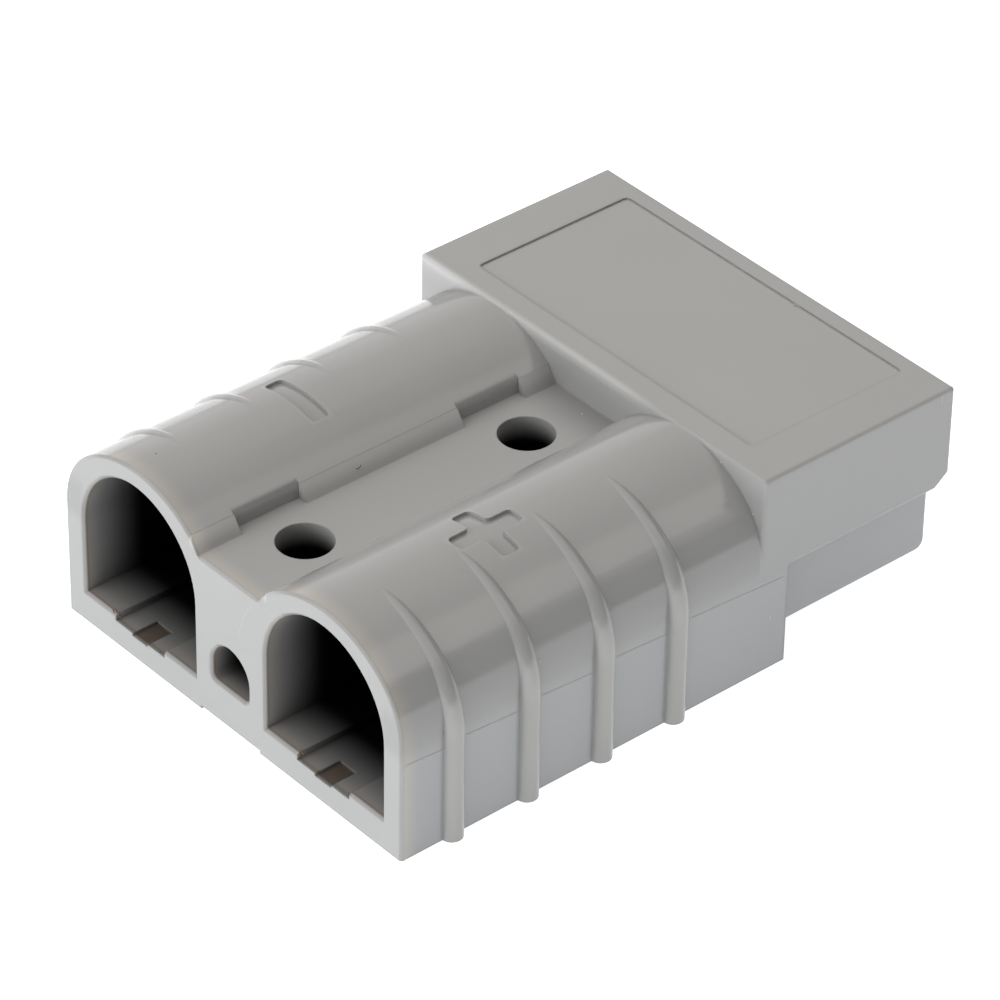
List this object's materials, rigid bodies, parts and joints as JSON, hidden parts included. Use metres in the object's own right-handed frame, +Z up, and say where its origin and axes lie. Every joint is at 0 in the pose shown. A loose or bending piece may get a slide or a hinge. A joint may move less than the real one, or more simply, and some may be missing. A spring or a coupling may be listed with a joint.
{
  "type": "two-pole power connector housing",
  "caption": "Grey moulded housing of a genderless 50 A cable connector, empty, with D-shaped cable entries, grip ribs, fixing holes, a bare name panel and leaf springs",
  "frame": {"origin": "under the middle of the housing, on the plane that it rests on", "axes": "+Y runs from the cable entries to the mating end, +Z is up from the flat underside to the marked side, +X points to the positive barrel"},
  "size_m": [0.0364, 0.048, 0.0157],
  "materials": {
    "grey_moulding": "moulded polycarbonate, semi-gloss on the barrels and the hood, satin on the web and on the strips at the feet of the barrels",
    "spring_strip": "cold rolled stainless spring strip, bright, with faint lines along its length"
  },
  "bodies": {
    "root": {"housing": "grey_moulding", "positive_spring": "spring_strip", "negative_spring": "spring_strip"}
  },
  "joints": []
}
